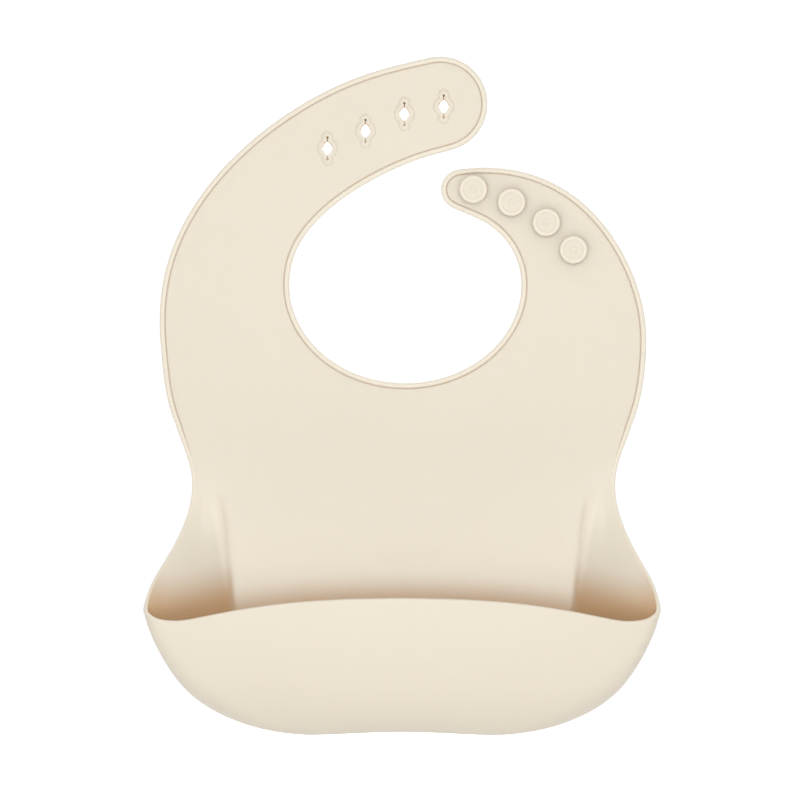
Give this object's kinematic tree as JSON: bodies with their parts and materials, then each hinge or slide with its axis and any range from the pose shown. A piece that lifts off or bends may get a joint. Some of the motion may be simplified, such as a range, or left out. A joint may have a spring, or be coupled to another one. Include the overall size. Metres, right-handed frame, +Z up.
{
  "type": "silicone bib",
  "caption": "Cream silicone baby bib: flat chest panel, round neck opening, slotted strap that fastens on round button studs, rim bead, and a deep scoop pocket that stands open.",
  "frame": {"origin": "centre line of the bib at the height of the neck opening's centre, on the back face of the sheet", "axes": "+Z up from the pocket to the straps, +X to a viewer's right when facing the front, -Y out of the front, where the pocket is; the wearer is at +Y"},
  "size_m": [0.226, 0.0515, 0.301],
  "materials": {
    "bib": "matte soft-touch silicone",
    "button": "matte soft-touch silicone"
  },
  "bodies": {
    "chest": {"chest_panel": "bib"},
    "hole_strap": {"hole_strap_shoulder": "bib"},
    "hole_strap_tip": {"hole_strap_end": "bib"},
    "button_strap": {"button_strap": "bib", "button_stud_1": "button", "button_stud_2": "button", "button_stud_3": "button", "button_stud_4": "button"},
    "lower_bib": {"pocket_back": "bib", "pocket_side_left": "bib", "pocket_side_right": "bib", "pocket_floor": "bib"},
    "pocket_wall": {"pocket_front": "bib"}
  },
  "joints": [
    {"name": "hole_strap_fold", "type": "hinge", "parent": "chest", "child": "hole_strap", "pos_m": [0.0008, 0, 0], "axis": [-0.9962, 0, -0.0872], "range_deg": [0, 95], "stiffness_Nm_per_rad": 0.03},
    {"name": "hole_strap_curl", "type": "hinge", "parent": "hole_strap", "child": "hole_strap_tip", "pos_m": [0.0008, 0, 0], "axis": [-0.766, 0, 0.6428], "range_deg": [0, 60], "stiffness_Nm_per_rad": 0.03},
    {"name": "button_strap_fold", "type": "hinge", "parent": "chest", "child": "button_strap", "pos_m": [0.0008, 0, 0], "axis": [-0.9962, 0, 0.0872], "range_deg": [0, 95], "stiffness_Nm_per_rad": 0.03},
    {"name": "waist_fold", "type": "hinge", "parent": "chest", "child": "lower_bib", "pos_m": [0, -0.0034, -0.084], "axis": [-1, 0, 0], "range_deg": [0, 70], "stiffness_Nm_per_rad": 0.05},
    {"name": "pocket_open", "type": "hinge", "parent": "lower_bib", "child": "pocket_wall", "pos_m": [0, -0.024, -0.199], "axis": [1, 0, 0], "range_deg": [0, 18], "stiffness_Nm_per_rad": 0.3}
  ]
}
